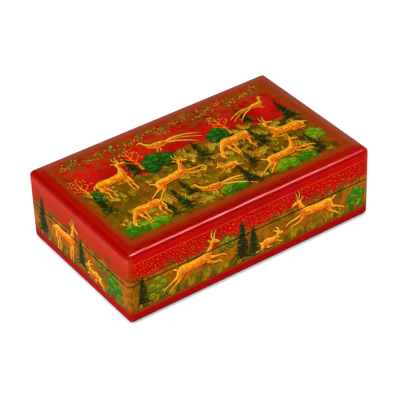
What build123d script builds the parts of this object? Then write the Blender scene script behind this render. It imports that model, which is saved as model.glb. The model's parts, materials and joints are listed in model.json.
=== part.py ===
from build123d import *
import os

# A rectangular papier-mache box with a lift-off lid.
#
# Lid and base are each glued up from a board of layered paper and four mitred
# walls. Their outside is smoothed to one rounded form before it is painted, so
# every board carries its own stretch of that form. Four thin boards, the neck,
# are glued inside the base. They stand up past the seam, and the lid slides
# down over them until its rim sits on the rim of the base.
#
# Frame: origin in the middle of the resting face, +X along the length,
# -Y to the front, +Z up. All sizes are in millimetres.

# Outside
LENGTH = 203.0
WIDTH = 123.0
BASE_HEIGHT = 32.0        # resting face to seam
LID_HEIGHT = 26.5         # seam to top face
TOP_ROUND = 4.0           # edge of the top face
BOTTOM_ROUND = 4.0        # edge of the resting face
CORNER_ROUND = 2.0        # upright corners
SEAM_BREAK = 0.45         # softened edge on both sides of the seam

# Boards
BASE_WALL = 4.5
FLOOR_BOARD = 6.0
FLOOR_STEP = 1.5          # how far the floor reaches up between the base walls
LID_BOARD = 6.0
LID_STEP = 1.5            # how far the top reaches down between the lid walls

# Neck
NECK_BOARD = 2.5
NECK_RISE = 5.0           # height of the neck above the seam
NECK_ROUND = 0.9          # lead-in along the top of the neck
LID_CLEARANCE = 0.4       # between the neck and the lid walls, on each side

# Worked out from the sizes above
SEAM = BASE_HEIGHT
HEIGHT = BASE_HEIGHT + LID_HEIGHT
LID_WALL = BASE_WALL - LID_CLEARANCE
BASE_WALL_FOOT = FLOOR_BOARD - FLOOR_STEP
LID_WALL_HEAD = HEIGHT - LID_BOARD + LID_STEP
NECK_TOP = SEAM + NECK_RISE

SIDES = ("front", "right", "back", "left")
MITRE_DEPTH = 2 * (BASE_WALL + NECK_BOARD)    # past the inner face of the neck
MITRE_REACH = BASE_WALL                       # and past the outer face


def block(inset, low, high):
    """A square-cornered block, inset from the outside, between two heights."""
    size = Box(LENGTH - 2 * inset, WIDTH - 2 * inset, high - low,
               align=(Align.CENTER, Align.CENTER, Align.MIN))
    return Pos(0, 0, low) * size


def rounded_form():
    """The closed box as one solid, with all its outer edges rounded."""
    form = block(0, 0, HEIGHT)
    form = fillet(form.edges().filter_by(Axis.Z), CORNER_ROUND)
    form = fillet(form.faces().sort_by(Axis.Z)[-1].edges(), TOP_ROUND)
    return fillet(form.faces().sort_by(Axis.Z)[0].edges(), BOTTOM_ROUND)


def lid_form():
    """The part of the form above the seam, its rim softened."""
    form = rounded_form() & block(0, SEAM, HEIGHT)
    return fillet(form.faces().sort_by(Axis.Z)[0].edges(), SEAM_BREAK)


def base_form():
    """The part of the form below the seam, its rim softened."""
    form = rounded_form() & block(0, 0, SEAM)
    return fillet(form.faces().sort_by(Axis.Z)[-1].edges(), SEAM_BREAK)


def lid_top():
    """The top board: the rounded edge of the lid, and a step between the walls."""
    plate = lid_form() & block(0, LID_WALL_HEAD, HEIGHT)
    return plate + block(LID_WALL, HEIGHT - LID_BOARD, LID_WALL_HEAD)


def base_floor():
    """The floor board: the rounded foot of the base, and a step between the walls."""
    plate = base_form() & block(0, 0, BASE_WALL_FOOT)
    return plate + block(BASE_WALL, BASE_WALL_FOOT, FLOOR_BOARD)


def lid_ring():
    """The four lid walls in one piece, from the seam up to the top board."""
    ring = lid_form() & block(0, SEAM, LID_WALL_HEAD)
    return ring - block(LID_WALL, SEAM, LID_WALL_HEAD)


def base_ring():
    """The four base walls in one piece, from the floor board up to the seam."""
    ring = base_form() & block(0, BASE_WALL_FOOT, SEAM)
    return ring - block(BASE_WALL, BASE_WALL_FOOT, SEAM)


def neck_ring():
    """The neck in one piece, standing on the floor against the base walls."""
    ring = block(BASE_WALL, FLOOR_BOARD, NECK_TOP)
    ring -= block(BASE_WALL + NECK_BOARD, FLOOR_BOARD, NECK_TOP)
    return fillet(ring.faces().sort_by(Axis.Z)[-1].edges(), NECK_ROUND)


def corners(outset):
    """The corners of the outline, moved out along the mitres, front left first."""
    x = LENGTH / 2 + outset
    y = WIDTH / 2 + outset
    return [(-x, -y), (x, -y), (x, y), (-x, y)]


def mitre_prism(side):
    """The space one side's boards may fill, between the mitres at its two ends."""
    start = SIDES.index(side)
    end = (start + 1) % len(SIDES)
    outer = corners(MITRE_REACH)
    inner = corners(-MITRE_DEPTH)
    outline = Polyline(outer[start], outer[end], inner[end], inner[start], close=True)
    return extrude(make_face(outline), HEIGHT)


def mitred(ring, name):
    """Saw a ring through its four corners into named boards."""
    return {name.format(side): ring & mitre_prism(side) for side in SIDES}


def make_box():
    """All pieces of the box by name."""
    pieces = {"lid_top": lid_top(), "base_floor": base_floor()}
    pieces |= mitred(lid_ring(), "lid_{}_wall")
    pieces |= mitred(base_ring(), "base_{}_wall")
    pieces |= mitred(neck_ring(), "neck_{}")
    return pieces


os.makedirs("parts", exist_ok=True)
for name, piece in make_box().items():
    solid = piece.solid()
    solid.label = name
    export_step(solid, f"parts/{name}.step")
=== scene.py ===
# %% [markdown]
# # A painted papier-mache box
#
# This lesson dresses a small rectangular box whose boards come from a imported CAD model. A real one is
# layered paper, smoothed with chalk and glue, painted in thin opaque colours and sealed under several
# coats of varnish. The boards keep their CAD shape. We add what the painter adds: grounds mixed in
# materials, and brush strokes built as thin beads of paint.

# %% Load the boards
import bmesh
import bpy
import json
import math
import random
from mathutils import Matrix, Vector

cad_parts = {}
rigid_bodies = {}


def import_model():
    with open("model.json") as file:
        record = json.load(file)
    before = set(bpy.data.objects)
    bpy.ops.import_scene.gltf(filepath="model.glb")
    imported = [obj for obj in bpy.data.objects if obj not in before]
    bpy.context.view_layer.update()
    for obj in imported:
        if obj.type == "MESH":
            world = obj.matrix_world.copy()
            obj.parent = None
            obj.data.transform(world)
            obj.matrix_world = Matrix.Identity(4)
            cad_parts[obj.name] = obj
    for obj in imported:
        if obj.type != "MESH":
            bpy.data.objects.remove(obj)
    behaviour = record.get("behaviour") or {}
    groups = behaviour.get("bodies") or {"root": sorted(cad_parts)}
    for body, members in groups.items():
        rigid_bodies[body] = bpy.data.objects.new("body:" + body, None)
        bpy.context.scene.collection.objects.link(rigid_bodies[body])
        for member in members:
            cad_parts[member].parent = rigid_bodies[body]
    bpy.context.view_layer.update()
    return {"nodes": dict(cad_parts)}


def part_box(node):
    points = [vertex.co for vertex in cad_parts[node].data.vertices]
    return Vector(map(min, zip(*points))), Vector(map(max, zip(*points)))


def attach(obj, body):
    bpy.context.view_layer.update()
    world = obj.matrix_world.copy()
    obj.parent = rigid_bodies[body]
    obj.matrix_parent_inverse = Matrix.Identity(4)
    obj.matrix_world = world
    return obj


scene_objects = bpy.context.scene.collection.objects
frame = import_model()

# %% [markdown]
# Painters measure from the edges of the board in front of them, so every place is worked out from the
# boards' own corners. We draw in millimetres, and turn them into metres only when a mesh is made.

# %% Sizes read from the boards
MM = 0.001
HALF_L, HALF_W, TOP = (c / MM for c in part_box("lid_top")[1])
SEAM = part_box("base_front_wall")[1].z / MM
WALL_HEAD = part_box("lid_front_wall")[1].z / MM
WALL_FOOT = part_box("base_front_wall")[0].z / MM
SEAM_GAP = 0.45           # softened edge on each side of the seam
EDGE_ROUND = 4            # rounded edge of the lid's top
CORNER_ROUND = 2          # rounded upright corners
SKIN = 0.3                # a place this near to the outside counts as on it
print(f"half length {HALF_L:.1f}, half width {HALF_W:.1f}, seam {SEAM:.1f}, top {TOP:.1f}")

# %% [markdown]
# Each paint is named once, by the colour that a chart gives it, and turned into the linear numbers that
# shaders use. The reds are cold lacquer reds. The golds are yellow ochres with a little orange in them,
# because their shine comes from the varnish and not from metal.

# %% Paints for the grounds
def paint(chart):
    """Linear colour for a chart colour such as 'b4120c'."""
    parts = [int(chart[i:i + 2], 16) / 255 for i in (0, 2, 4)]
    linear = [p / 12.92 if p <= 0.04045 else ((p + 0.055) / 1.055) ** 2.4 for p in parts]
    return (*linear, 1)


WHITE = (1, 1, 1, 1)
# the foot red is painted shade: the sides' red darkens from the seam down to the foot
RED, DEEP_RED, FOOT_SHADE_RED, EDGE_RED, MARGIN_RED = "b60200", "a20200", "9a0200", "860400", "8c1806"
SKY_RED, SKY_DEEP = "c4120a", "9c0e06"
DUSK, DUSK_RED, DUSK_GREEN = "90380a", "9e280a", "74480a"
OCHRE, OLIVE, UMBER, EARTH_GREEN = "8a4f04", "685204", "5b3004", "4a5304"
NAP_GOLD, NAP_BROWN, HOLLOW = "90720a", "3c2806", "281a08"
BLACK, BLACK_BROWN = "18100b", "3c2414"
SIENNA, TAWNY = "b05a04", "6e4804"      # the earth on the sides is redder
END_RED, HAZE, HUMMOCK, FOOT_EARTH = "ac2204", "803c04", "4e3606", "7c3202"
LIGHTER_MARGIN_RED = "a21003"      # a lighter red on the left margin and at the front right
PAINTED_SHEEN, PAINTED_SHEEN_END = "a14f40", "bf4336"   # painted sheen: a pale pink reflection near the lid's edges and high on the ends
WORN = "a8561c"           # ochre ground where the paint is rubbed thin

# %% [markdown]
# Colours here change from place to place, and nodes work them out. To keep the recipes short, Python's
# own signs build the nodes: + adds a node that adds, & one that keeps the smaller, | the larger.

# %% Fields, which are values made by nodes
def maths(operation):
    """A method that sends a field and another value through a maths node."""
    return lambda field, other: field.nodes.math(operation, field, other)


class Field:
    """A value that changes from place to place."""
    __add__, __sub__, __mul__ = maths("ADD"), maths("SUBTRACT"), maths("MULTIPLY")
    __gt__, __lt__ = maths("GREATER_THAN"), maths("LESS_THAN")
    __and__, __or__ = maths("MINIMUM"), maths("MAXIMUM")

    def __init__(self, nodes, socket):
        self.nodes, self.socket = nodes, socket

    def __rsub__(self, other):
        return self.nodes.math("SUBTRACT", other, self)

    def __abs__(self):
        return self.nodes.math("ABSOLUTE", self)


class Nodes:
    """The nodes of a material or a world."""

    def __init__(self, owner):
        owner.use_nodes = True
        self.owner, self.tree = owner, owner.node_tree

    def fill(self, node, inputs):
        """Give a node's inputs, by name or number, a field, a chart colour or a constant."""
        for name, value in dict(inputs).items():
            if isinstance(value, Field):
                self.tree.links.new(value.socket, node.inputs[name])
            else:
                node.inputs[name].default_value = paint(value) if isinstance(value, str) else value

    def node(self, kind, inputs=(), output=0, **settings):
        """Add a node and return one of its outputs as a field."""
        node = self.tree.nodes.new("ShaderNode" + kind)
        for name, value in settings.items():
            setattr(node, name, value)
        self.fill(node, inputs)
        return Field(self, node.outputs[output])

    def math(self, operation, *values):
        return self.node("Math", enumerate(values), operation=operation)

    def step(self, value, low, high):
        """0 at low, 1 at high and smooth between. low may be the larger number."""
        return self.node("MapRange", {"Value": value, "From Min": low, "From Max": high},
                         interpolation_type="SMOOTHSTEP")

    def band(self, value, low, rise, fall, high):
        """1 between rise and fall, 0 below low and above high."""
        return self.step(value, low, rise) * self.step(value, high, fall)

    def mix(self, share, first, second):
        """first where share is 0, second where it is 1."""
        return self.node("Mix", {0: share, 6: first, 7: second}, output=2, data_type="RGBA")

    def layers(self, colour, *glazes):
        """A colour under glazes of (share, colour)."""
        for share, glaze in glazes:
            colour = self.mix(share, colour, glaze)
        return colour


# %% [markdown]
# We could unwrap every board and paint an image, but then the picture would have to match across four
# mitred corners and a seam. Mixing colours by the place on the box does that by itself, so each ground
# reads object coordinates. Noise is moved by a seed, so that its uses show different clouds.

# %% Grounds
class Ground(Nodes):
    """The nodes of one painted ground. Places are in millimetres on the box."""

    def __init__(self, name):
        super().__init__(bpy.data.materials.new(name))
        place = self.node("TexCoord", output="Object")
        self.place = self.node("VectorMath", {0: place, "Scale": 1 / MM}, operation="SCALE")
        self.x, self.y, self.z = (self.node("SeparateXYZ", {0: self.place}, axis) for axis in "XYZ")

    def noise(self, size, stretch=(1, 1, 1), detail=2, seed=0):
        """Cloudy 0 to 1 values whose patches are about `size` millimetres wide."""
        shift = (seed, seed * 1.7, seed * 0.6)
        moved = self.node("VectorMath", {0: self.place, 1: shift}, operation="ADD")
        squeezed = self.node("VectorMath", {0: moved, 1: stretch}, operation="MULTIPLY")
        return self.node("TexNoise", {"Vector": squeezed, "Scale": 1 / size, "Detail": detail}, "Fac")

    def patches(self, size, low, high, **noise):
        """Noise turned into soft-edged patches: 0 where it is below low, 1 where it is above high."""
        return self.step(self.noise(size, **noise), low, high)


# %% [markdown]
# Varnish is a thin clear coat with a small, sharp gloss over a colour that has none. A very low, slow
# bump makes reflections swim a little, as on a surface smoothed by hand. Several coats level out raised
# paint, so over a stroke the coat faces the way the board does: up near the top, out near a side.

# %% Varnish over a paint
BUMP_HEIGHT = 0.3 * MM
COAT_RELIEF, COAT_RELIEF_SIZE = 0.12, 9


def board_direction(g):
    """The way the board faces at a place on the box."""
    edges = ((g.x, HALF_L), (g.y, HALF_W), (g.z, TOP))
    facing = [(abs(along) > edge - SKIN) * g.math("SIGN", along) for along, edge in edges]
    return g.node("CombineXYZ", enumerate(facing))


def varnish(g, colour, relief=COAT_RELIEF, relief_size=COAT_RELIEF_SIZE, levelled=False, coat=0.18):
    """Put a colour under the clear coat and return the finished material."""
    inputs = {"Base Color": colour, "Coat Weight": coat, "Roughness": g.noise(5, seed=40) * 0.3 + 0.45,
              "Specular IOR Level": 0, "Coat Roughness": 0.08, "Coat IOR": 1.2}
    for name, strength, size in (("Normal", relief, relief_size),
                                 ("Coat Normal", COAT_RELIEF, COAT_RELIEF_SIZE)):
        bump = {"Strength": strength, "Distance": BUMP_HEIGHT, "Height": g.noise(size, detail=3)}
        if levelled and name == "Coat Normal":
            bump["Normal"] = board_direction(g)
        inputs[name] = g.node("Bump", bump)
    g.fill(g.tree.nodes["Principled BSDF"], inputs)
    return g.owner


# %% [markdown]
# The picture stands on rolling hills, a sum of slow waves that is used twice: the ground changes from
# sky to meadow along it, and later a fine gold line is drawn on it. On the sides the waves read both x
# and y, so that the hills meet at the upright corners.

# %% The line of the hills
LID_HILLS = (12, ((4.6, 17, 0.9, 0), (2.4, 8.6, 2, 0)))      # 0 is a wave along x, 1 along y
SIDE_HILLS = (SEAM + 0.8, ((0.7, 13, 0.4, 0), (0.7, 12, 1.1, 1), (0.4, 5.6, 2, 0), (0.4, 5.1, 0.3, 1)))


def hill_height(hills, x, y, sine=math.sin):
    """Height of the hill line, for a place in numbers or in fields."""
    level, waves = hills
    for high, length, shift, axis in waves:
        level = sine((x, y)[axis] * (1 / length) + shift) * high + level
    return level


def hill_nodes(g, hills):
    return hill_height(hills, g.x, g.y, lambda angle: g.math("SINE", angle))


# %% [markdown]
# The earth is ochre drifting to olive. Over it lie soft mottles of umber and green, and a fine nap of
# upright brush touches, which is noise stretched three times along the grass: y on the lid's top, z on
# the sides.

# %% Meadow colours
def meadow(g, upright, first, second, seed=0):
    earth = g.mix(g.patches(15, 0.4, 0.62, detail=5, seed=seed) * 0.85, first, second)
    for colour, size, stretch, low, share, shift in (
            (UMBER, 5, (1, 1, 1), 0.5, 0.6, 7), (EARTH_GREEN, 4.2, (1, 1, 1), 0.52, 0.6, 3),
            (NAP_GOLD, 1.6, upright, 0.54, 0.5, 11), (NAP_BROWN, 1.5, upright, 0.56, 0.55, 17)):
        touches = g.patches(size, low, low + 0.14, stretch=stretch, detail=4, seed=seed + shift)
        earth = g.mix(touches * share, earth, colour)
    return earth


# %% [markdown]
# The lid's ground has three fields, one inside the other: red over the rounded edge, a dusky frame, and a
# red sky over a meadow whose brown hollows are deeper to the right. No border is a ruled line, so noise
# shifts each a little. The red margin is darker, lighter along the left and at the front right, with a band
# of painted shade just inside the gloss line. Along the back and the right a pale pink sheen is painted in,
# a painted reflection.

# %% Colours of the lid's top
PICTURE = (-88, 86, -48, 52)      # west, east, south and north limits
FRAME = (-93, 99.5, -53.5, 60)


def within(g, limits, wobble):
    """Millimetres inside a rectangle, negative outside it."""
    west, east, south, north = limits
    along, across = (g.x - west) & (east - g.x), (g.y - south) & (north - g.y)
    return g.math("SMOOTH_MIN", along, across, 2.5) + wobble


def lid_picture(g, wobble):
    """Sky over meadow."""
    scumble = g.patches(5, 0.4, 0.62, detail=4, seed=9) * g.step(g.y, 24, 46)
    sky = g.layers(SKY_RED, (g.patches(18, 0.35, 0.7, seed=4), SKY_DEEP), (scumble * 0.85, DUSK_GREEN))
    depth = g.step(g.x, -60, 10) * 0.45 + 0.3
    hollows = g.patches(7, 0.46, 0.62, detail=5, seed=13) * depth
    grassland = g.mix(hollows, meadow(g, (1, 0.33, 1), OCHRE, OLIVE), HOLLOW)
    above_hill = g.y - (wobble * 0.5 + hill_nodes(g, LID_HILLS))
    return g.mix(g.step(above_hill, 0.5, -0.5), sky, grassland)


def lid_margin(g, off_edge):
    """The red outside the frame, with a band of painted shade just inside the gloss line."""
    left_margin = g.band(g.x + HALF_L, 2.4, 3.6, 6, 8)
    front_margin = g.step(g.y + HALF_W, 8, 6) * g.step(g.x, 10, 75)
    return g.layers(
        RED, (g.patches(16, 0.3, 0.7), DEEP_RED),
        (g.band(off_edge, 1.4, 3, 7, 11) * 0.85, MARGIN_RED),
        # painted shade: a deep red band just inside the gloss line on the rounded edge
        (g.band(off_edge, 1.4, 2.2, 3.5, 5.5) * 0.85, EDGE_RED),
        (g.step(HALF_L - abs(g.x), 4, 1.5) * 0.8, EDGE_RED),
        (left_margin | front_margin * 0.7, LIGHTER_MARGIN_RED))


def lid_top_colours(g):
    wobble = g.noise(4, detail=4) * 3.4 - 1.7
    off_far, off_near = (HALF_L - g.x) & (HALF_W - g.y), (g.x + HALF_L) & (g.y + HALF_W)
    dusk = g.layers(DUSK, (g.patches(2.2, 0.4, 0.65, detail=3, seed=2), DUSK_RED),
                    (g.patches(9, 0.45, 0.7, detail=4, seed=6) * 0.6, DUSK_GREEN))
    # painted sheen: a pale pink reflection painted along the back and right edges
    painted_sheen = g.step(off_far, 9.5, 2.5) * g.step(off_near, 2, 9)
    return g.layers(
        lid_margin(g, off_far & off_near), (g.step(within(g, FRAME, wobble), -1.5, 1.5), dusk),
        (painted_sheen * 0.68, PAINTED_SHEEN), (g.step(within(g, PICTURE, wobble), -3.5, 1.2), lid_picture(g, wobble)))


# %% [markdown]
# Round the sides run the same sky and meadow. The meadow starts above a plain red foot band and just
# crosses the seam, so the picture only closes when the lid sits on the base. On the short ends it stands
# a little higher, and the red is warmer, with a pale pink sheen painted high up, a painted reflection. Haze
# and dark hummocks soften the meadow's line. Painted shade darkens the red from the seam down to the foot,
# and lies in a band just under the gloss line on the lid's rounded edge. Specks of worn paint lie at the
# upright corners, along the foot and where the seam ends.

# %% Colours of the sides
FOOT_BAND = 8.2           # top of the red band round the foot
END_LIFT = 2.5            # how much higher the meadow stands on the ends
# height of the band of painted shade just under the gloss line
UNDER_EDGE = TOP - EDGE_ROUND + 1.2


def side_sky(g, on_end, height):
    """The red of the sides, with haze and hummocks low in it, painted shade towards the foot and under the
    gloss line, and a painted sheen high on the ends.
    """
    hummock = g.noise(8, detail=3, seed=27) * -24 + 12
    low_sky = g.step(height + hummock, SEAM + 10, SEAM + 1) * g.step(g.z, SEAM - 8, SEAM)
    haze = g.patches(5, 0.34, 0.56, detail=4, seed=8) * low_sky
    return g.layers(
        RED, (g.patches(16, 0.3, 0.7, seed=1), DEEP_RED),
        # the ends' red is warmer, and high on the ends a pale pink sheen is painted, a painted reflection
        (on_end * g.step(g.z, 54, 50), END_RED), (on_end * g.step(g.z, 43, 55) * 0.34, PAINTED_SHEEN_END),
        # painted shade: the red darkens from the seam down to the foot
        (g.step(g.z, 32, 12), FOOT_SHADE_RED), (haze * 0.9, g.mix(g.step(hummock, 0.5, -3), HAZE, HUMMOCK)),
        # painted shade: a band just under the gloss line, and a darker foot at its rounded bottom edge
        (g.step(abs(g.z - UNDER_EDGE), 1.4, 0.5) * 0.8, EDGE_RED), (g.step(g.z, 5.4, 3.4) * 0.6, EDGE_RED))


def side_colours(g):
    wobble = g.noise(3, detail=3, seed=5) * 1.6 - 0.8
    on_end = g.step(abs(g.x), HALF_L - 6, HALF_L - 1)
    height = g.z - on_end * END_LIFT
    foot_height = wobble * 0.4 + g.z - on_end * 1.2
    low_earth = g.step(foot_height, 16.5, FOOT_BAND) * 0.9
    earth = g.mix(low_earth, meadow(g, (1, 1, 0.33), SIENNA, TAWNY, seed=20), FOOT_EARTH)
    under_hill = g.step(height - (hill_nodes(g, SIDE_HILLS) + wobble), 0.3, -0.3)
    above_foot = g.step(foot_height, FOOT_BAND - 0.7, FOOT_BAND + 0.7)
    off_corner = (HALF_L - abs(g.x)) | (HALF_W - abs(g.y))
    seam_end = g.step(abs(g.z - SEAM), 1.9, 0.7) * g.step(off_corner, 14, 4)
    rubbed = seam_end | g.step(off_corner, 2.2, 0.8) | g.step(g.z, 3, 1.2)
    specks = g.patches(1.7, 0.54, 0.64, detail=5, seed=31)
    return g.layers(side_sky(g, on_end, height), (under_hill * above_foot, earth),
                    (specks * rubbed * 0.75, WORN))


# %% [markdown]
# Boards are painted on the outside and black on the inside. Black also lines the softened edges of the
# seam, and no varnish gets in there, which makes the seam a crisp dark line. One material serves every
# board: it asks how deep a place lies under the box's upright outline. The underside is black too, as
# on most such boxes.

# %% The painted board
NEAR = 0.1                # slack where two boards meet
UNDERSIDE = 0.05          # what lies lower than this is the underside


def under_outline(g):
    """How deep a place lies under the box's upright outline, in millimetres."""
    over_x = (abs(g.x) - (HALF_L - CORNER_ROUND)) | 0
    over_y = (abs(g.y) - (HALF_W - CORNER_ROUND)) | 0
    return CORNER_ROUND - g.math("SQRT", over_x * over_x + over_y * over_y)


def painted_board():
    g = Ground("painted_ground")
    off_seam = abs(g.z - SEAM) > SEAM_GAP + 0.03
    on_side = (under_outline(g) < SKIN) & off_seam
    on_lid = g.z > WALL_HEAD + NEAR
    on_foot = (g.z < WALL_FOOT - NEAR) & (g.z > UNDERSIDE)
    colours = g.mix(g.z > TOP - EDGE_ROUND / 2, side_colours(g), lid_top_colours(g))
    black = g.mix(g.patches(6, 0.45, 0.75, detail=4, seed=3), BLACK, BLACK_BROWN)
    coat = g.noise(14, detail=3, seed=50) * 0.16 + 0.1
    return varnish(g, g.mix(on_side | on_lid | on_foot, black, colours), coat=off_seam * coat)


board_finish = painted_board()
for board in frame["nodes"].values():
    board.data.materials.clear()
    board.data.materials.append(board_finish)
print("nodes in the painted ground:", len(board_finish.node_tree.nodes))

# %% [markdown]
# Now the brushwork. A stroke of body colour is a thin bead: it stands a few hundredths of a millimetre
# proud, has a soft crest, and narrows where the brush lifts. Real beads catch the light and keep a crisp
# edge, so each is a small closed mesh, drawn flat in millimetres and laid on its board by a matrix.

# %% The five painted faces
# Each matrix takes (u, v, height) in millimetres on one face of the box to a place in metres.
QUARTER = math.radians(90)
FACES = {"top": Matrix.Scale(MM, 4) @ Matrix.Translation((0, 0, TOP))}
for turns, face in enumerate(("front", "right", "back", "left")):
    out = (HALF_W, HALF_L)[turns % 2]
    upright = Matrix.Translation((0, -out, 0)) @ Matrix.Rotation(QUARTER, 4, "X")
    FACES[face] = Matrix.Scale(MM, 4) @ Matrix.Rotation(turns * QUARTER, 4, "Z") @ upright


def spot(face, u, v, size=1, turn=0):
    """A place for a motif: on a face, at (u, v), scaled, turned in degrees. Size -1 mirrors it."""
    scale = Matrix.Diagonal((size, abs(size), 1, 1))
    return FACES[face] @ Matrix.Translation((u, v, 0)) @ Matrix.Rotation(math.radians(turn), 4, "Z") @ scale


# %% [markdown]
# A brush line passes smoothly through a few given points. A Catmull-Rom curve does that with no
# extra handles, and it can carry the brush's half width as a third number.

# %% Smooth lines
def smooth(points, steps=2, closed=False):
    """A smooth line through points, which may carry a half width as a third number."""
    rows = [Vector(p) for p in points]
    count = len(rows)
    line = []
    for i in range(count if closed else count - 1):
        near = [k % count if closed else max(0, min(count - 1, k)) for k in range(i - 1, i + 3)]
        a, b, c, d = (rows[k] for k in near)
        for s in range(steps):
            t = s / steps
            line.append((2 * b + (c - a) * t + (2 * a - 5 * b + 4 * c - d) * t ** 2
                         + (3 * b - 3 * c + d - a) * t ** 3) / 2)
    return line if closed else line + [rows[-1]]


def heading(line, i):
    """The direction of a line at its i-th point."""
    return (line[min(i + 1, len(line) - 1)] - line[max(i - 1, 0)]).xy.normalized()


# %% [markdown]
# A sheet collects the strokes of one kind, such as all the grass. Its marks are the stroke, the dab,
# which fills an outline, and the dot. Each sinks a little into the board, so none floats, and stands a
# hair higher or lower than its neighbours, so that crossing marks don't share a plane. The bed is the
# height of the paint that a mark lies on.

# %% Marks of the brush
SINK = 0.02               # how far a mark reaches into the board
HAIR = 0.024              # marks differ in height by up to this much
GOLDEN = 0.618            # steps by this share spread the heights evenly
BROAD = 0.45              # a stroke with a wider half than this gets a flat crest
FINEST = 0.03             # no stroke is thinner
RIM = 0.3                 # softened rim of a dab
SHEETS = {}


class Sheet:
    def __init__(self, name):
        self.name = name
        self.points, self.faces, self.paints, self.soft, self.marks = [], [], [], [], 0
        SHEETS[name] = self

    def crest(self, bed, thick):
        """Height of the next mark's top."""
        self.marks += 1
        return bed + thick + HAIR * (self.marks * GOLDEN % 1)

    def add(self, where, rings, tone, soft=True):
        """Join rings of (u, v, height) points into a closed skin."""
        first, wide, last = len(self.points), len(rings[0]), len(rings) - 1
        self.points += [where @ Vector(p) for ring in rings for p in ring]
        for a in range(first, first + last * wide, wide):
            for j in range(wide):
                k = (j + 1) % wide
                self.faces.append((a + j, a + k, a + wide + k, a + wide + j))
        self.soft += [soft] * (len(self.faces) - len(self.soft)) + [False, False]
        self.faces += [tuple(range(a, a + wide)) for a in (first, first + last * wide)]
        self.paints += [tone] * (len(self.faces) - len(self.paints))

    def stroke(self, where, path, tone, bed=0, thick=0.03):
        """A brush line through (u, v, half width) points."""
        path = [Vector(p) for p in path]
        top = self.crest(bed, thick)
        if max(p[2] for p in path) > BROAD:
            profile = ((-1, -SINK), (-0.94, bed), (-0.6, top), (0.6, top), (0.94, bed), (1, -SINK))
        elif bed:
            profile = ((-1, -SINK), (-0.94, bed), (0, top), (0.94, bed), (1, -SINK))
        else:
            profile = ((-1, -SINK), (0, top), (1, -SINK))
        rings = []
        for i, p in enumerate(path):
            across = heading(path, i).orthogonal() * max(p.z, FINEST)
            rings.append([(p.x + across.x * s, p.y + across.y * s, h) for s, h in profile])
        self.add(where, rings, tone)

    def dab(self, where, outline, tone, thick):
        """A filled outline of (u, v) points."""
        top = self.crest(0, thick)
        after = outline[1:] + outline[:1]
        before = outline[-1:] + outline[:-1]
        turning = sum(p.cross(q) for p, q in zip(outline, after))
        inward = math.copysign(RIM, turning)
        inner = [p + (a - b).normalized().orthogonal() * inward for p, a, b in zip(outline, after, before)]
        rings = [[(p.x, p.y, height) for p in ring] for ring, height in ((outline, -SINK), (inner, top))]
        self.add(where, rings, tone, soft=False)

    def dot(self, where, u, v, radius, tone, bed=0, thick=0.05, sides=8):
        """A round touch of the brush's tip."""
        top = self.crest(bed, thick)
        ring = [(math.cos(a), math.sin(a)) for a in (2 * math.pi * k / sides for k in range(sides))]
        rings = [[(u + c * radius * r, v + s * radius * r, h) for c, s in ring]
                 for r, h in ((1, -SINK), (0.85, (bed + top) / 2), (0.45, top))]
        self.add(where, rings, tone)


# %% [markdown]
# The forest is made of three plants. A fir is a dark spire whose boughs sweep down and out, tier under
# tier, each a stroke that thins to a point.

# %% Firs
firs = Sheet("firs")
FIR_SIZE, TIERS, BOUGHS = 22, 12, 3


def fir(face, u, v, height, seed, bed=0):
    chance = random.Random(seed)
    where = spot(face, u, v, height / FIR_SIZE)
    firs.stroke(where, smooth([(0, -0.8, 0.55), (0.1, 3, 0.4)]), "bark", bed)
    firs.stroke(where, smooth([(0, 1.5, 1.5), (0, 9, 1.5), (0, 16, 0.9), (0, 22, 0.15)], 3), "fir", bed)
    for tier in range(TIERS):
        low = tier / (TIERS - 1)
        y = 20.4 - 17.2 * low
        for side in (-1, 1):
            for depth in range(BOUGHS):
                reach = (1 + 4.9 * low) * (1 - 0.27 * depth) * chance.uniform(0.8, 1.15)
                drop = reach * chance.uniform(0.42, 0.68) - 0.5 * depth
                bough = [(0, y, 0.65), (side * reach * 0.55, y - drop * 0.4, 0.62),
                         (side * reach, y - drop, 0.09)]
                tone = "fir_light" if depth == 1 and chance.random() < 0.3 else "fir"
                firs.stroke(where, smooth(bough), tone, bed, thick=0.045)
            if tier > 5 and chance.random() < 0.7:
                x, low_y = side * reach * chance.uniform(1.5, 1.9), y - drop * 1.6
                lit = [(x * 0.7, low_y + 0.4, 0.08), (x, low_y, 0.18), (x * 1.12, low_y, 0.05)]
                firs.stroke(where, smooth(lit), "blade_gold", bed + 0.03)


# %% [markdown]
# A bush is a mound of round clumps. Each is one dab of body colour on a dark rim, with a dark crescent
# low down, a broad lighter one above it, and a few short leaf strokes.

# %% Bushes
bushes = Sheet("bushes")
MOUND = ((0, 0.7, 0.3), (-0.3, 0.5, 0.28), (0.3, 0.5, 0.28), (0, 0.4, 0.28),
         (-0.28, 0.19, 0.26), (0.26, 0.18, 0.26))
ROUND_TREE = ((0, 0.82, 0.22), (-0.22, 0.62, 0.22), (0.22, 0.6, 0.22), (0, 0.46, 0.24),
              (-0.16, 0.24, 0.22), (0.18, 0.22, 0.22))
ON_CLUMP = 0.04           # height of the dabs that the leaf strokes lie on
OUTLINE_POINTS, LEAVES = 9, 5  # of each clump


def crescent(x, y, radius, middle, width):
    """A stroke along a third of a circle, round the angle `middle` in degrees."""
    turns = (math.radians(middle + 60 * share) for share in (-1, -0.5, 0, 0.5, 1))
    return smooth([(x + radius * math.cos(a), y + radius * math.sin(a), w * width)
                   for a, w in zip(turns, (0.2, 0.8, 1, 0.8, 0.2))])


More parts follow.
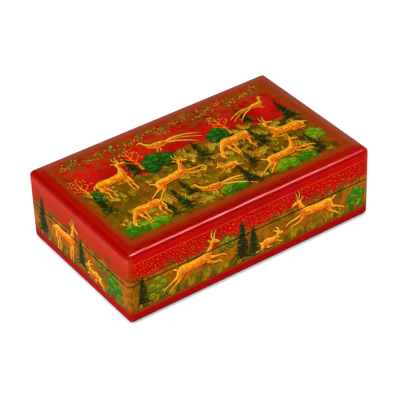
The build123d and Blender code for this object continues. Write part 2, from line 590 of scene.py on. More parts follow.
def bush(face, u, v, width, height, tone, seed, clumps=MOUND):
    chance = random.Random(seed)
    where = spot(face, u, v)
    deep, light = tone + "_deep", tone + "_light"
    for x, y, r in clumps:
        x, y, radius = x * width, y * height, r * (width + height) / 2
        wobbly = [(x + radius * f * math.cos(a), y + radius * f * 0.9 * math.sin(a))
                  for a, f in ((2 * math.pi * k / OUTLINE_POINTS, chance.uniform(0.9, 1.08))
                               for k in range(OUTLINE_POINTS))]
        wider = [(x + (px - x) * 1.07, y + (py - y) * 1.07 - 0.2) for px, py in wobbly]
        bushes.dab(where, smooth(wider, 3, closed=True), deep, thick=0.006)
        bushes.dab(where, smooth(wobbly, 3, closed=True), tone, thick=0.016)
        bushes.stroke(where, crescent(x, y, radius * 0.7, -80, radius * 0.14), deep, ON_CLUMP, thick=0.008)
        bushes.stroke(where, crescent(x, y, radius * 0.5, 75, radius * 0.26), light, ON_CLUMP, thick=0.008)
        for _ in range(LEAVES):
            a, f = chance.uniform(0, 2 * math.pi), chance.uniform(0.3, 1)
            x0, y0 = x + radius * f * math.cos(a), y + radius * f * 0.9 * math.sin(a)
            shade = light if math.sin(a) > 0.3 else deep if math.sin(a) < -0.4 else tone
            lean = chance.uniform(-0.7, 0.7)
            leaf = [(x0, y0 - 0.6, 0.12), (x0 + lean * 0.5, y0 + 0.1, 0.36), (x0 + lean, y0 + 0.9, 0.05)]
            bushes.stroke(where, leaf, shade, ON_CLUMP, thick=0.015)


# %% [markdown]
# Grass is a few blades that fan from one root. Longer or shorter and in other paints, they give tufts
# on the sides and pale stubble at the animals' feet. Undergrowth is a fan of ferns: a bent stem with
# pairs of leaflets, each a gold or green stroke on a dark one that is slightly wider.

# %% Grass
grass = Sheet("grass")
SPREAD = 0.55             # lean of a tuft's outer blades


def tuft(face, u, v, height, tones, seed, blades, thickness=0.26):
    chance = random.Random(seed)
    where = spot(face, u, v)
    for blade in range(blades):
        lean = (blade / max(blades - 1, 1) - 0.5) * 2 * SPREAD + chance.uniform(-0.15, 0.15)
        tall = height * chance.uniform(0.6, 1.05)
        root = lean * 0.3 * height
        path = [(root, 0, thickness * 0.8), (root + lean * tall * 0.2, tall * 0.55, thickness),
                (root + lean * tall * 0.7, tall, 0.04)]
        grass.stroke(where, smooth(path), chance.choice(tones))


def fern(where, x, y, length, lean, tone):
    """A bent stem with pairs of leaflets that shorten towards the tip."""
    bends = ((0, 0, 0.15), (0.5, lean, 0.15), (1, lean * 1.4, 0.06))
    stem = smooth([(x + far * length * math.sin(a), y + far * length * math.cos(a), w)
                   for far, a, w in bends], 4)
    grass.stroke(where, stem, tone, bed=0.02, thick=0.02)
    for i in range(1, len(stem) - 1):
        along = heading(stem, i)
        reach = length * 0.34 * math.sin(math.pi * (0.25 + 0.65 * i / len(stem)))
        for side in (-1, 1):
            out = Matrix.Rotation(side * 0.95, 2) @ along
            tip, middle = stem[i].xy + (out + along * 0.3) * reach, stem[i].xy + out * reach * 0.5
            for wider, colour, bed in ((0.14, "fern_deep", 0), (0, tone, 0.02)):
                leaf = ((stem[i].xy, 0.12), (middle, 0.36 + wider), (tip, 0.05 + wider))
                grass.stroke(where, smooth([(*p, w) for p, w in leaf]), colour, bed, thick=0.012)


def thicket(face, u, v, width, height, tones, seed):
    """A low fan of ferns."""
    chance = random.Random(seed)
    where = spot(face, u, v)
    count = max(2, round(width / 4))
    for k in range(count):
        x = (k + 0.5) / count - 0.5
        fern(where, x * width, chance.uniform(0, 0.25) * height, height * chance.uniform(0.9, 1.25),
             2 * x + chance.uniform(-0.35, 0.35), tones[k % len(tones)])


# %% [markdown]
# The animals are gazelles, hares and pheasants, the usual company of such a meadow. Each is a handful
# of tapering strokes: body, neck, head, legs. A limb is a paint and a row of points with half widths,
# in millimetres round the middle of the body, with the rump to the left.

# %% Shapes of the animals
GOLD, DEEP, STRAW, RUST, OUTLINE = "gold", "gold_deep", "straw", "rust", "outline"
SHAPES = {"leaping": (
    (13.1, 12.1),
    (DEEP, (7, 1, 1.5), (11.5, -2.2, 0.9), (16, -3, 0.6), (17.6, -4.8, 0.45)),
    (DEEP, (-7.6, 0.8, 2.2), (-10.6, -3.8, 1.2), (-13.2, -5.8, 0.65), (-17.4, -9.2, 0.42)),
    (GOLD, (-10.4, 1.4, 2.2), (-8.4, 2, 3.5), (-2.5, 2.2, 3), (3.5, 2.5, 3.3), (7.4, 3.4, 3),
     (9.2, 5, 2)),
    (GOLD, (7.4, 4, 2.6), (10, 7.8, 1.7), (11.4, 11, 1.3)),
    (GOLD, (10.8, 11.4, 1.2), (12.6, 11.8, 1.35), (15, 10.9, 0.85), (16, 10.4, 0.5)),
    (GOLD, (8.2, 2.4, 1.7), (13, 1.2, 0.95), (18, 0.4, 0.6), (20.4, -1.2, 0.45)),
    (GOLD, (-9, 1.2, 2.6), (-12.4, -1.8, 1.4), (-15.6, -3.2, 0.72), (-20.6, -6, 0.45)),
    (GOLD, (10.8, 12.2, 0.45), (9.2, 13.6, 0.55), (8.2, 14.2, 0.1)),
    (STRAW, (-11.6, 3.2, 0.5), (-13.6, 5, 0.55), (-14.8, 4.9, 0.12)),
    (STRAW, (12, 12.8, 0.34), (11, 16.2, 0.3), (11.8, 19.6, 0.08)),
    (STRAW, (12.7, 12.7, 0.34), (12.8, 16.2, 0.3), (14.2, 19, 0.08)),
), "grazing": (
    (14.3, -8.4),
    (DEEP, (4.6, -1.5, 1.5), (4.2, -7, 0.75), (5, -13, 0.45)),
    (DEEP, (-5.4, -1, 2), (-5.6, -5.5, 1), (-4.4, -8.6, 0.62), (-4.8, -13, 0.45)),
    (GOLD, (-9.2, 0, 1.9), (-7, 0.6, 3.4), (-0.5, 0.4, 3.1), (5.6, 0.6, 3.4), (8.6, -0.6, 2.2)),
    (GOLD, (7.4, -0.2, 2.4), (11.2, -3.4, 1.55), (13.4, -7.2, 1.15)),
    (GOLD, (13, -6.8, 1.1), (14.4, -8.8, 1.3), (14.8, -11.4, 0.8), (14.6, -12.6, 0.5)),
    (GOLD, (6.8, -1.6, 1.8), (7.2, -7, 0.85), (6.6, -13, 0.5)),
    (GOLD, (-7.6, -0.6, 2.5), (-9, -5, 1.2), (-7.8, -8.6, 0.7), (-8.4, -13, 0.5)),
    (GOLD, (12.6, -6.4, 0.45), (11.2, -7.6, 0.5), (10.8, -8.8, 0.1)),
    (STRAW, (-10.2, 1.6, 0.45), (-11.6, -0.6, 0.5), (-11.4, -3.4, 0.15)),
    (STRAW, (13.8, -6.4, 0.34), (16.8, -5.6, 0.3), (19.4, -6.8, 0.08)),
    (STRAW, (14.2, -7.2, 0.34), (17.4, -7.2, 0.3), (19.4, -8.8, 0.08)),
), "standing": (
    (11.1, 11.7),
    (DEEP, (5, -1.5, 1.5), (5.4, -7, 0.75), (5, -13, 0.45)),
    (DEEP, (-5.4, -1, 2), (-6.2, -5.5, 1), (-5.2, -8.6, 0.62), (-5.6, -13, 0.45)),
    (GOLD, (-9, 0.2, 1.9), (-7, 0.8, 3.3), (-0.5, 0.6, 3), (5.4, 1.2, 3.4), (8, 2.6, 2.2)),
    (GOLD, (6.6, 2.2, 2.6), (8.8, 6.6, 1.7), (9.2, 10.2, 1.3)),
    (GOLD, (8.8, 10.8, 1.2), (10.6, 11.4, 1.35), (13, 10.6, 0.85), (14, 10.1, 0.5)),
    (GOLD, (7, -1, 1.8), (7.6, -7, 0.85), (7.4, -13, 0.5)),
    (GOLD, (-7.6, -0.4, 2.5), (-9.2, -5, 1.2), (-8.2, -8.6, 0.7), (-8.8, -13, 0.5)),
    (GOLD, (8.8, 11.8, 0.45), (7.2, 13, 0.55), (6.2, 13.4, 0.1)),
    (STRAW, (-10, 1.8, 0.45), (-11.8, 0.6, 0.5), (-12.2, -1.8, 0.15)),
    (STRAW, (10, 12.3, 0.34), (9.2, 15.8, 0.3), (10, 19, 0.08)),
    (STRAW, (10.7, 12.3, 0.34), (11, 15.8, 0.3), (12.4, 18.4, 0.08)),
), "resting": (
    (6.1, 12),
    (GOLD, (-9.4, -0.6, 1.9), (-7, 0.2, 3.5), (-0.5, 0.2, 3.2), (5.4, 0.8, 3.4), (8, 2.4, 2.2)),
    (GOLD, (6.4, 2.2, 2.6), (8.4, 6.8, 1.7), (8, 10.4, 1.3)),
    (GOLD, (8.4, 11, 1.2), (6.6, 11.7, 1.35), (4.2, 11, 0.85), (3.2, 10.5, 0.5)),
    (DEEP, (-7, -1.2, 2.4), (-2.4, -3.4, 1.3), (-6.6, -4.2, 0.7), (-10, -4.2, 0.45)),
    (GOLD, (7.2, -0.6, 1.8), (11.2, -2.2, 1), (7.8, -4.1, 0.65), (4, -4.2, 0.45)),
    (GOLD, (8.6, 12, 0.45), (10.2, 13.2, 0.55), (11.2, 13.4, 0.1)),
    (STRAW, (-10.2, 0.8, 0.45), (-12, 0.2, 0.5), (-12.8, -1.4, 0.15)),
    (STRAW, (7.3, 12.5, 0.34), (8, 15.8, 0.3), (7.2, 18.8, 0.08)),
    (STRAW, (6.5, 12.5, 0.34), (6, 15.8, 0.3), (4.8, 18.2, 0.08)),
), "hare": (
    (6, 3.4),
    (DEEP, (-3.4, -1.4, 1.2), (-1.6, -3, 0.7), (0.4, -3.2, 0.35)),
    (DEEP, (3.4, -0.6, 0.8), (5.6, -2.4, 0.5), (7.6, -2.6, 0.3)),
    (GOLD, (-5, 0, 1.6), (-3, 0.8, 2.6), (1, 0.5, 2.1), (4.2, 1.4, 1.5)),
    (GOLD, (4, 1.8, 1.3), (5.6, 3, 1.35), (7.4, 2.6, 0.6)),
    (GOLD, (4.6, 3.8, 0.5), (2.6, 5.6, 0.55), (0.6, 6.2, 0.1)),
    (STRAW, (5.2, 4, 0.4), (4.2, 6.6, 0.5), (2.6, 7.8, 0.1)),
    (STRAW, (-6.2, 1.2, 0.8), (-7, 2, 0.5)),
    (GOLD, (-4, -0.6, 1.9), (-6.4, -2.4, 0.8), (-9.2, -2.9, 0.35)),
), "pheasant": (
    (8.1, 8.2),
    (RUST, (-5, -0.4, 1.5), (-11, -0.6, 1.3), (-19, -3.6, 0.8), (-27, -8.6, 0.2)),
    (GOLD, (-5, 0.2, 1.2), (-12, 1.2, 0.9), (-20, -0.8, 0.6), (-27.5, -4.6, 0.15)),
    (STRAW, (-5, -0.8, 0.9), (-11, -2.6, 0.7), (-17, -6.6, 0.45), (-22, -11.2, 0.12)),
    (GOLD, (-6.4, -0.2, 1.4), (-3, 0, 3), (2, 0.4, 3.1), (5.2, 2.2, 1.8)),
    (RUST, (-5.6, 0.8, 0.6), (-2, 1, 1.8), (2, 1.4, 1.4), (3.6, 1.4, 0.3)),
    (GOLD, (4.6, 2.2, 1.7), (6.6, 5.2, 1.05), (7, 7.4, 0.9)),
    (STRAW, (6.8, 7.6, 0.9), (8, 8, 0.95), (9.2, 7.6, 0.3), (10.2, 7.3, 0.08)),
    (RUST, (6.8, 8.6, 0.4), (5, 9.6, 0.4), (3.8, 9.4, 0.08)),
    (STRAW, (0.4, -2.6, 0.4), (0.8, -5, 0.3), (2.2, -5.8, 0.18)),
    (STRAW, (2.2, -2.4, 0.4), (3, -4.8, 0.3), (4.6, -5.4, 0.18)),
)}

# %% [markdown]
# The painter blocks an animal in with dark brown and lays gold over it a little smaller, which leaves a
# fine outline. On the gold go an orange shadow, a pale edge and a dark one, and fur in short fine
# strokes, rusty below and pale above. All of them follow from the limb's own line, so we work them out.

# %% Painting an animal
animals = Sheet("animals")
OUTLINE_WIDTH = 0.4       # how far the brown shows round the gold
ON_BROWN = 0.035          # height of the brown that the gold lies on
ON_GOLD = 0.077           # height of the gold that the fine lines lie on
THIN, SHADED, BROAD_LIMB, FURRY = 0.7, 1.6, 1.2, 1.3      # half widths at which limbs get more detail
FUR_STROKES = 4           # at each point of a wide limb


def beside(line, i, share):
    """A point beside a line's i-th point, as a share of its half width towards the lower side."""
    across = heading(line, i).orthogonal()
    if across.y > 0 or (abs(across.y) < 0.2 and across.x < 0):
        across = -across
    return line[i].xy + across * line[i].z * share


def rounded(line, wider=0):
    """The line with its two blunt ends drawn round, perhaps a little wider."""
    line = [Vector((*p.xy, p.z + wider)) for p in line]
    ends = []
    for tip, inner in ((line[0], line[1]), (line[-1], line[-2])):
        out = (tip - inner).xy.normalized() * tip.z
        ends.append([(*(tip.xy + out * far), tip.z * wide) for far, wide in ((0.9, 0.35), (0.6, 0.75))])
    return ends[0] + line + ends[1][::-1]


def engrave(where, line, widest, chance):
    """Shadow, pale edge, dark edge and fur along one limb."""
    middle = range(1, len(line) - 1)
    if widest > SHADED:
        shadow = [(*beside(line, i, 0.5), line[i].z * 0.34) for i in middle]
        animals.stroke(where, shadow, "shadow", bed=ON_GOLD - 0.01, thick=0.012)
    if len(middle) > 1:
        for share, wide, tone in ((-0.72, 0.2, STRAW), (0.92, 0.17, OUTLINE)):
            edge = [(*beside(line, i, share), wide) for i in middle]
            animals.stroke(where, edge, tone, bed=ON_GOLD, thick=0.015)
    for i in (i for i in middle if line[i].z > FURRY):
        for _ in range(FUR_STROKES):
            share = chance.uniform(-0.65, 0.75)
            tone = chance.choice((OUTLINE, RUST, RUST) if share > -0.1 else (RUST, STRAW, STRAW))
            root = beside(line, i, share)
            hair = Matrix.Rotation(chance.uniform(-0.5, 0.5), 2) @ -heading(line, i)
            hair *= 0.5 * line[i].z * chance.uniform(0.6, 1)
            points = [(*(root + hair * far), wide) for far, wide in ((0, 0.06), (0.4, 0.18), (1, 0.03))]
            animals.stroke(where, points, tone, bed=ON_GOLD, thick=0.012)


def animal(kind, face, u, v, size, turn=0):
    chance = random.Random(kind + face)
    where = spot(face, u, v, size, turn)
    (x, y), *limbs = SHAPES[kind]
    for tone, *points in limbs:
        widest = max(p[2] for p in points)
        line = smooth(points, 7 if widest > BROAD_LIMB else 4)
        animals.stroke(where, rounded(line, OUTLINE_WIDTH), OUTLINE, thick=0.025)
        animals.stroke(where, rounded(line), tone, bed=ON_BROWN, thick=0.02)
        if widest > THIN:
            engrave(where, line, widest, chance)
    animals.dot(where, x, y, 0.45, OUTLINE, bed=ON_GOLD, thick=0.02)
    animals.dot(where, x + 0.08, y + 0.1, 0.15, STRAW, bed=ON_GOLD + 0.02, thick=0.015, sides=6)


# %% [markdown]
# Every stroke colour is two close tones of one paint that change over a millimetre or two, because
# hand-ground colour is never even. The golds have a third, a red glaze in patches. Each paint is a
# ground of its own, under the same varnish.

# %% Paints for the strokes
PAINT_TONES = {
    "fir": "221e04 262e06", "fir_light": "2c480e 385612", "bark": "4a1c08 5c280c",
    "lime": "547e08 648c0a", "lime_light": "70980c 7ca210", "lime_deep": "30580a 3a640c",
    "leaf": "2e6208 386e0a", "leaf_light": "4a800c 588c10", "leaf_deep": "205006 285a08",
    "olive": "5a5e08 686a0a", "olive_light": "827c0c 908810", "olive_deep": "343e08 3e460a",
    "moss": "1a480c 22520e", "moss_light": "2e6010 387014", "moss_deep": "0e2c08 14360a",
    "gold": "e68e0a f2ac16 d8660a", "gold_deep": "dc7008 e8840c c0480a", "straw": "eeaa20 f6bc38",
    "shadow": "da5a08 e6700c", "rust": "b43a0a c84c0e", "outline": "3c1604 4e2006",
    "fern_deep": "4a3006 563a08", "blade": "766804 8c7c06", "blade_deep": "464404 585206",
    "blade_gold": "a07e0a ba9012", "leaf_gold": "9c8606 b09408", "wheat": "c8a61a dabb2c",
    "dry": "8a6204 a07406", "dry_deep": "4e3a04 5e4604", "olive_leaf": "564e0c 685c10",
    "fruit": "a88228 c49c3c", "line_gold": "ba5a0a cc6c10", "speck": "d4481c e46630",
}
PAINTS = {}
for name, tones in PAINT_TONES.items():
    g = Ground("paint_" + name)
    first, second, *glaze = tones.split()
    colour = g.layers(first, (g.patches(1.6, 0.4, 0.6, detail=3), second), *(
        (g.patches(4.5, 0.5, 0.64, detail=4, seed=12) * 0.85, tone) for tone in glaze))
    PAINTS[name] = varnish(g, colour, relief=0.25, relief_size=0.8, levelled=True)
print("paints:", len(PAINTS))

# %% [markdown]
# The lid's picture is laid out like a tapestry: no middle, no depth, and something in every gap. The
# animals come first, then the trees between them, then undergrowth, and last grass wherever earth still
# shows. An animal whose size is below zero faces left.

# %% The picture on the lid
ON_ANIMALS = 0.07         # height of the animals that some firs overlap
for kind, u, v, *size_and_turn in (
        ("standing", -62, 14, 1.3), ("pheasant", -14, 31, -1.2), ("pheasant", 71, 29, 0.95),
        ("leaping", -27, -10, 1.25, 4), ("grazing", 34, 4, -1.3), ("resting", 71, -8, -1.25),
        ("pheasant", -12, -34, -1.25), ("grazing", -60, -25, -1.15), ("leaping", 50, -34, 1.2),
        ("hare", 11, -20, -1.1)):
    animal(kind, "top", u, v, *size_and_turn)
for i, (u, v, height, *bed) in enumerate((
        (-83, -18, 26), (-43, 8, 27), (-37, -46, 28), (6, -4, 26), (47, -16, 26, ON_ANIMALS),
        (54.5, 11.5, 23), (-48, -46, 23), (75, -46, 26), (83, 0, 26, ON_ANIMALS),
        (15, -46, 24, ON_ANIMALS), (28, -30, 22), (-27, -33, 21))):
    fir("top", u, v, height, i, *bed)
for i, (u, v, width, height, tone, *clumps) in enumerate((
        (-78, -46, 18, 14, "leaf"), (0, -46, 21, 13, "leaf"), (44, -47, 20, 11, "lime"),
        (-25, 6, 26, 20, "moss"), (62, -47, 15, 10, "leaf"), (28, 9, 20, 15, "moss"),
        (-63, -47, 16, 10, "lime"), (-81, -4, 11, 16, "moss", ROUND_TREE), (82.5, -31, 12, 15, "lime"))):
    bush("top", u, v, width, height, tone, i, *clumps)
for i, (u, v, width, height) in enumerate((
        (-48, -34, 26, 10), (6, 2, 16, 8), (-12, -46, 14, 9), (57, -3, 14, 8), (-66, -8, 12, 8),
        (28, -25, 24, 11), (74, -34, 12, 10), (-12, -16, 16, 8), (-64, -42, 12, 8), (45, 9, 12, 7),
        (31, -46, 12, 8), (26, -12, 12, 7))):
    thicket("top", u, v, width, height, ("wheat", "leaf_gold", "blade_gold", "wheat", "gold"), i)

LID_TUFTS = 300
chance = random.Random(5)
places = []
while len(places) < LID_TUFTS:
    u, v = chance.uniform(-86, 84), chance.uniform(-47, 18)
    if v < hill_height(LID_HILLS, u, v) - 2:
        places.append((u, v))
for i, (u, v) in enumerate(places):
    tones = (("blade_gold", "wheat", "straw"), ("blade", "blade_gold"), ("blade_deep", "blade"))[i % 3]
    tuft("top", u, v, 3.4 + i % 5 * 0.8, tones, i, blades=3 + i % 4)

# %% [markdown]
# Sprays of fruit hang into the sky from the frame, as if the picture were seen through an orchard: a
# few olive leaf strokes with round touches of pale gold. Three slim golden trees reach up between them,
# and the hill's rim is one fine gold line.

# %% Fruit sprays, slim trees and the gold rim
sprays = Sheet("sprays")
SPRAYS, SPRAY_STEP = 17, 10.2
SPRAY_LEAVES, SPRAY_FRUITS = 26, 12
TREE_SIZE, BOUGH_FRUITS = 24, 5


def spray(u, v, size, seed):
    chance = random.Random(seed)
    where = spot("top", u, v, size)
    for _ in range(SPRAY_LEAVES):
        x, y = chance.gauss(0, 3.4), chance.gauss(0, 2.6)
        lean = chance.uniform(-1, 1)
        leaf = [(x, y, 0.1), (x + lean, y + 0.9, 0.6), (x + 2 * lean, y + 1.6, 0.08)]
        sprays.stroke(where, smooth(leaf), chance.choice(("olive_leaf", "blade_deep")))
    for _ in range(SPRAY_FRUITS):
        x, y = chance.gauss(0, 3.2), chance.gauss(0, 2.6)
        sprays.dot(where, x, y, chance.uniform(0.42, 0.7), "fruit", bed=0.05)


def slim_tree(u, v, height, seed):
    chance = random.Random(seed)
    where = spot("top", u, v, height / TREE_SIZE)
    trunk = [(0.2, -1.6, 0.25), (0, -0.8, 1), (0, 0.6, 1.1), (0.5, 6, 0.7), (-0.4, 12, 0.5), (0.3, 18, 0.3)]
    sprays.stroke(where, smooth(trunk, 3), DEEP, bed=0.03)
    for reach, start in ((-5, 6), (6, 8), (-5, 11), (4.5, 13), (-3, 15), (0.4, 17)):
        bough = [(0, start, 0.45), (reach * 0.5, start + 2, 0.3), (reach, start + 5, 0.1)]
        sprays.stroke(where, smooth(bough, 3), DEEP, bed=0.03)
        for _ in range(BOUGH_FRUITS):
            x, y = reach + chance.gauss(0, 1.2), start + 5 + chance.gauss(0, 1.2)
            sprays.dot(where, x, y, chance.uniform(0.35, 0.6), "fruit", bed=0.04)


for i in range(SPRAYS):
    spray(-82 + i * SPRAY_STEP, 46.5 + 2.2 * math.sin(i * 2.1), 0.9 + 0.15 * math.cos(i * 1.7), i)
for i, (u, v, height) in enumerate(((-38, 14, 28), (36, 13, 26), (-84, 8, 24))):
    slim_tree(u, v, height, i)
rim = [(u, hill_height(LID_HILLS, u, 0) + 0.2, 0.16) for u in range(-87, 86, 2)]
sprays.stroke(spot("top", 0, 0), smooth(rim), "line_gold")

# %% [markdown]
# The sides carry the same company in a frieze that runs across the seam. Each is painted with the lid
# on and cut along the seam afterwards.

# %% The frieze round the sides
FRIEZE = {
    "front": (
        (("leaping", -48, 24, 1.25), ("leaping", 54, 24, -1.25), ("hare", 15.5, 16, 1.35)),
        ((-9, 11, 34), (0.5, 12, 25), (-90.5, 12, 25)),
        ((-79, 12, 15, 22, "olive"), (90, 11, 12, 21, "leaf"), (-21.5, 27, 14, 11, "olive"),
         (-2, 11, 15, 9, "olive"))),
    "left": (
        (("standing", -18, 26.5, 1.25), ("hare", 18, 16, -1.3)),
        ((-47, 11, 33), (3, 13, 25)),
        ((44, 12, 15, 22, "leaf"), (29, 27, 12, 9, "olive"))),
    "right": (
        (("grazing", 18, 27, -1.3), ("pheasant", -28, 22, -1.1)),
        ((47, 11, 32), (-4, 12, 26)),
        ((-47, 12, 18, 26, "leaf"), (34, 27, 15, 12, "olive"))),
    "back": (
        (("grazing", -60, 27, 1.3), ("leaping", 4, 24, 1.25), ("standing", 64, 26.5, -1.2)),
        ((-30, 11, 32), (37, 11, 32), (90, 12, 24), (-90, 12, 25)),
        ((47, 12, 18, 22, "olive"), (-46, 12, 16, 20, "leaf"), (82, 12, 14, 16, "leaf"),
         (-20, 27, 15, 12, "olive"))),
}
TUFTS_PER_MM = 0.2
SIDE_TONES = (("dry", "leaf_gold", "blade"), ("blade_deep", "leaf_deep", "dry_deep"),
              ("dry_deep", "dry", "blade"))
for face, (creatures, trees, shrubs) in FRIEZE.items():
    half = HALF_L if face in ("front", "back") else HALF_W
    chance = random.Random(face)
    for kind, u, v, size in creatures:
        animal(kind, face, u, v, size)
    for i, (u, v, height) in enumerate(trees):
        fir(face, u, v, height, i + 20, bed=ON_ANIMALS)
    for i, (u, v, width, height, tone) in enumerate(shrubs):
        bush(face, u, v, width, height, tone, i + 30)
    count = int(2 * half * TUFTS_PER_MM)
    for i in range(count):
        tall = chance.uniform(6, 12)
        reach = half - 2.5 - 0.8 * tall
        u = -half + 5 + i * (2 * half - 10) / (count - 1) + chance.uniform(-2.5, 2.5)
        u = max(-reach, min(reach, u))
        tones = SIDE_TONES[i % 3]
        tuft(face, u, chance.uniform(8.8, 12), tall, tones, i, 4 + i % 4, thickness=0.48)
        if i % 6 == 1 and abs(u) < half - 12:
            thicket(face, u, chance.uniform(9, 12), 8, 7, ("dry", "blade", "blade_gold"), i)
        if i % 2 == 0 and abs(u) < half - 10:
            tuft(face, u + 3, SEAM - 1, 4 + i % 5, tones, i, 5, thickness=0.4)

# %% [markdown]
# On the two long sides gold dust fills the red sky, under a fine gold line. The dust is dots on a
# jittered grid, which look even but not ruled.

# %% Gold line and gold dust
dust = Sheet("dust")
LINE_HEIGHT = TOP - 9.5
ROWS, COLUMNS = 6, 80
ROW_STEP, COLUMN_STEP, JITTER = 2.45, 2.43, 0.9
FIRST_U, FIRST_V = -97.5, SEAM + 2.6
for face in ("front", "back"):
    chance = random.Random(face)
    where = spot(face, 0, 0)
    waver = [(u, LINE_HEIGHT + chance.uniform(-0.12, 0.12), chance.uniform(0.13, 0.22))
             for u in range(-98, 99, 4)]
    dust.stroke(where, smooth(waver), "line_gold")
    for row in range(ROWS):
        for column in range(COLUMNS):
            u = FIRST_U + (column + 0.5 * (row % 2)) * COLUMN_STEP + chance.uniform(-JITTER, JITTER)
            v = FIRST_V + row * ROW_STEP + chance.uniform(-JITTER, JITTER)
            dust.dot(where, u, v, chance.uniform(0.22, 0.5), "speck", thick=0.03, sides=6)

# %% [markdown]
# Now each sheet becomes meshes. The part above the seam rides on the lid and the part below on the
# base. We cut along the edges of the seam's dark groove and close the cut, so no stroke bridges it.

# %% Cut the sheets at the seam
def half_of(whole, above):
    """The closed half of a mesh above or below the seam's groove."""
    half = whole.copy()
    height = SEAM + SEAM_GAP if above else SEAM - SEAM_GAP
    cut = bmesh.ops.bisect_plane(half, geom=half.verts[:] + half.edges[:] + half.faces[:],
                                 dist=1e-7, plane_co=(0, 0, height * MM), plane_no=(0, 0, 1),
                                 clear_inner=above, clear_outer=not above)
    edges = [item for item in cut["geom_cut"] if isinstance(item, bmesh.types.BMEdge)]
    bmesh.ops.holes_fill(half, edges=edges, sides=0)
    return half


for sheet in SHEETS.values():
    mesh = bpy.data.meshes.new(sheet.name)
    mesh.from_pydata(sheet.points, [], sheet.faces)
    names = sorted(set(sheet.paints))
    mesh.polygons.foreach_set("material_index", [names.index(n) for n in sheet.paints])
    mesh.polygons.foreach_set("use_smooth", sheet.soft)
    whole = bmesh.new()
    whole.from_mesh(mesh)
    bmesh.ops.recalc_face_normals(whole, faces=whole.faces)
    for body in ("lid", "base"):
        half = half_of(whole, body == "lid")
        if half.faces:
            painted = bpy.data.meshes.new(f"{body}_{sheet.name}")
            half.to_mesh(painted)
            for tone in names:
                painted.materials.append(PAINTS[tone])
            piece = bpy.data.objects.new(painted.name, painted)
            scene_objects.link(piece)
            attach(piece, body)
            print(f"{painted.name}: {sheet.marks} marks on the sheet, {len(painted.polygons)} faces")
        half.free()
    whole.free()
    bpy.data.meshes.remove(mesh)

# %% [markdown]
# The camera stands where a shopper would stand, well back with a long lens, looking down on the near
# corner. Its place follows from two angles and a distance, which can be read and changed one at a time.

# %% Camera
AZIMUTH, ELEVATION, ROLL = (math.radians(a) for a in (-33.95, 36.48, -2.25))
DISTANCE = 1272           # from the middle of the box
ASIDE, ABOVE = 0.5, 5.5   # how far the middle sits right of and over the picture's centre
FOCAL_SHARE = 4.515       # focal length over sensor width
SENSOR = 36

turned = (Matrix.Rotation(AZIMUTH, 4, "Z") @ Matrix.Rotation(QUARTER - ELEVATION, 4, "X")
          @ Matrix.Rotation(ROLL, 4, "Z"))
lens = bpy.data.cameras.new("camera")
lens.sensor_width = SENSOR
lens.lens = SENSOR * FOCAL_SHARE
camera = bpy.data.objects.new("camera", lens)
middle, away = Vector((0, 0, TOP / 2)) * MM, Vector((-ASIDE, -ABOVE, DISTANCE)) * MM
camera.matrix_world = Matrix.Translation(middle) @ turned @ Matrix.Translation(away)
scene_objects.link(camera)
bpy.context.scene.camera = camera
print("camera at", [round(c, 3) for c in camera.matrix_world.translation])

# %% [markdown]
# Two softboxes light the box, one in front and one on the left. A third, which only shows in gloss, draws
# the bright line along the lid's rounded front edge. The studio is pale, but for a dark wall behind the
# box: the lid's top mirrors that wall, so its colours stay deep.

# %% Lamps and studio
AIM = Vector((0, 0, 0.03))


def softbox(name, place, width, height, power):
    data = bpy.data.lights.new(name, "AREA")
    data.shape = "RECTANGLE"
    data.size, data.size_y, data.energy = width, height, power
    lamp = bpy.data.objects.new(name, data)
    turn = (AIM - Vector(place)).to_track_quat("-Z", "Y")
    lamp.matrix_world = Matrix.Translation(place) @ turn.to_matrix().to_4x4()
    scene_objects.link(lamp)
    return lamp


softbox("front_softbox", (0.35, -1.05, 0.65), 0.8, 0.6, 12)
softbox("left_softbox", (-1.10, -0.10, 0.55), 0.7, 0.7, 14.5)
edge_softbox = softbox("edge_softbox", (0.565, -0.93, 0.88), 0.44, 0.38, 110)
edge_softbox.visible_diffuse = False

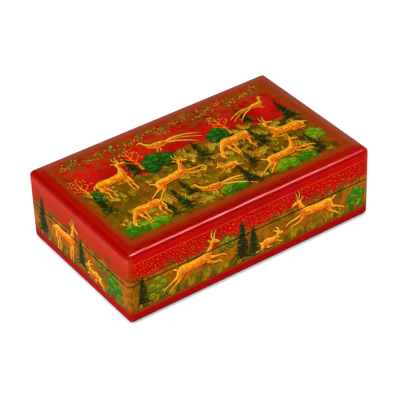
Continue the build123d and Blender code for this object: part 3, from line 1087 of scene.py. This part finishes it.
STUDIO, DARK_WALL = 0.5, 0.18
WALL_DIRECTION = (0.449, 0.667, 0.594)
studio = Nodes(bpy.data.worlds.new("studio"))
direction = studio.node("TexCoord", output="Generated")
toward = studio.node("VectorMath", {0: direction, 1: WALL_DIRECTION}, "Value", operation="DOT_PRODUCT")
on_wall = studio.step(toward, 0.3, 0.85)
strength = on_wall * (DARK_WALL - STUDIO) + STUDIO
studio.fill(studio.tree.nodes["Background"], {"Strength": strength, "Color": WHITE})
bpy.context.scene.world = studio.owner

# %% [markdown]
# The floor is plain and white. A little glow, seen by the camera and in reflections only, lifts its
# colour without putting more light on the box. It fades in the few millimetres next to the box, which
# keeps the box's line of shadow. The fade looks a little to the left, so that line is fainter on the left
# and longer on the right.

# %% Floor
FLOOR_REACH, FLOOR_DROP = 4, 0.0002
FLOOR_GLOW, GLOW_FADE = 0.75, 0.0026
LEAN_LEFT = (-0.6, 0, 0.8)
corners = [(x * FLOOR_REACH, y * FLOOR_REACH, -FLOOR_DROP) for x, y in ((-1, -1), (1, -1), (1, 1), (-1, 1))]
floor_mesh = bpy.data.meshes.new("floor")
floor_mesh.from_pydata(corners, [], [(0, 1, 2, 3)])
floor = bpy.data.objects.new("floor", floor_mesh)
scene_objects.link(floor)

white = Nodes(bpy.data.materials.new("white_floor"))
seen = white.node("LightPath", output="Is Camera Ray")
for kind in ("Is Glossy Ray", "Is Transmission Ray"):
    seen = seen | white.node("LightPath", output=kind)
lean = white.node("CombineXYZ", enumerate(LEAN_LEFT))
open_air = white.node("AmbientOcclusion", {"Distance": GLOW_FADE, "Normal": lean}, "AO")
white.fill(white.tree.nodes["Principled BSDF"], {
    "Base Color": (0.4, 0.4, 0.4, 1), "Roughness": 0.9, "Specular IOR Level": 0,
    "Emission Color": WHITE, "Emission Strength": open_air * FLOOR_GLOW * seen})
floor_mesh.materials.append(white.owner)

# %% [markdown]
# Last, the view settings. The dressed box should differ from the CAD box by no more than a layer of
# paint.

# %% Finish
bpy.context.scene.view_settings.view_transform = "Standard"
